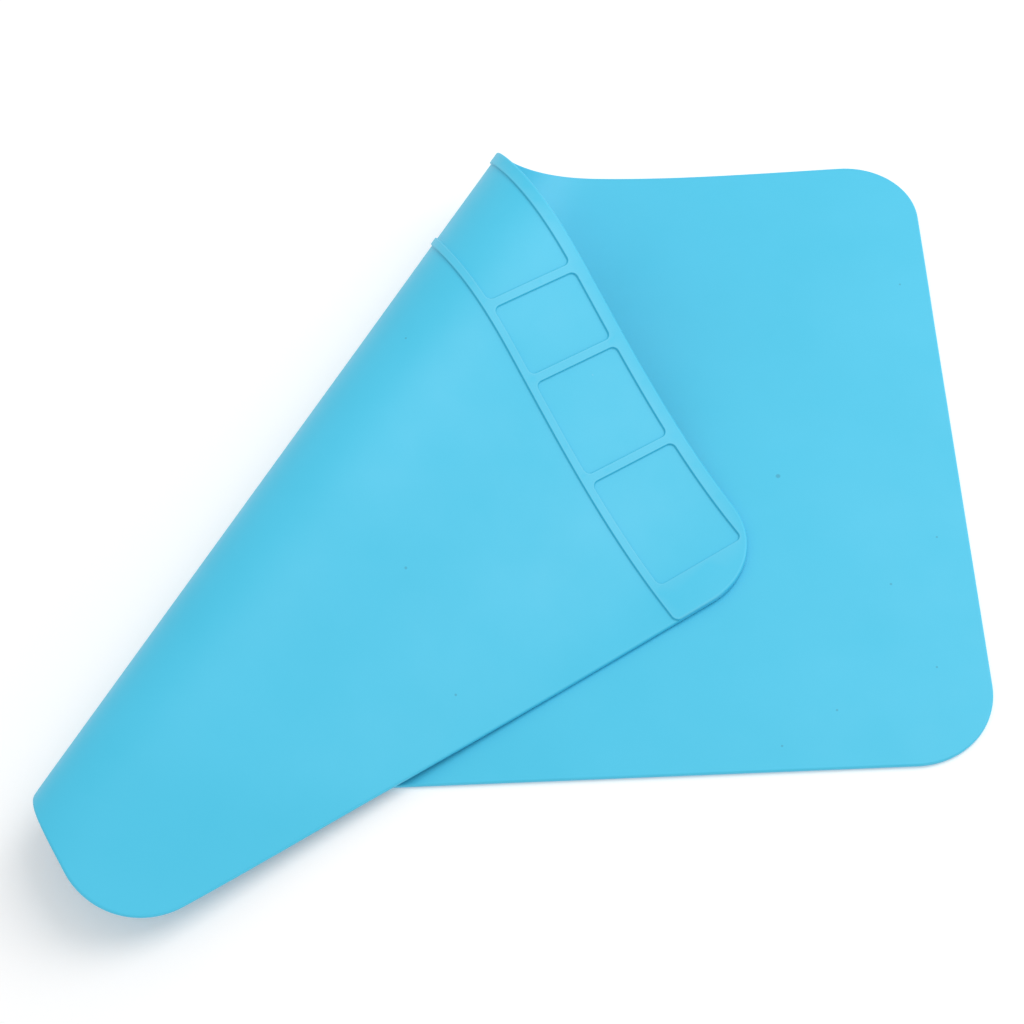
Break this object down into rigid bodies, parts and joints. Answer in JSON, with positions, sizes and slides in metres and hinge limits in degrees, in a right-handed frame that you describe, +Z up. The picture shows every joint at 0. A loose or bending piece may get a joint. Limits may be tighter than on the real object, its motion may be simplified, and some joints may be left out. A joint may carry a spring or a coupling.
{
  "type": "soldering mat",
  "caption": "Thin moulded silicone work mat with rounded corners and a raised band of shallow parts pockets, lying folded over.",
  "frame": {"origin": "centre of the folded mat's bounding box in plan, at the level of the surface it lies on", "axes": "+X along the long edge of the lower layer, +Y along its short edge towards the pocket band, +Z up"},
  "size_m": [0.2758, 0.2694, 0.0449],
  "materials": {
    "silicone": "satin matte, sky blue"
  },
  "bodies": {
    "root": {"soldering_mat": "silicone"}
  },
  "joints": []
}
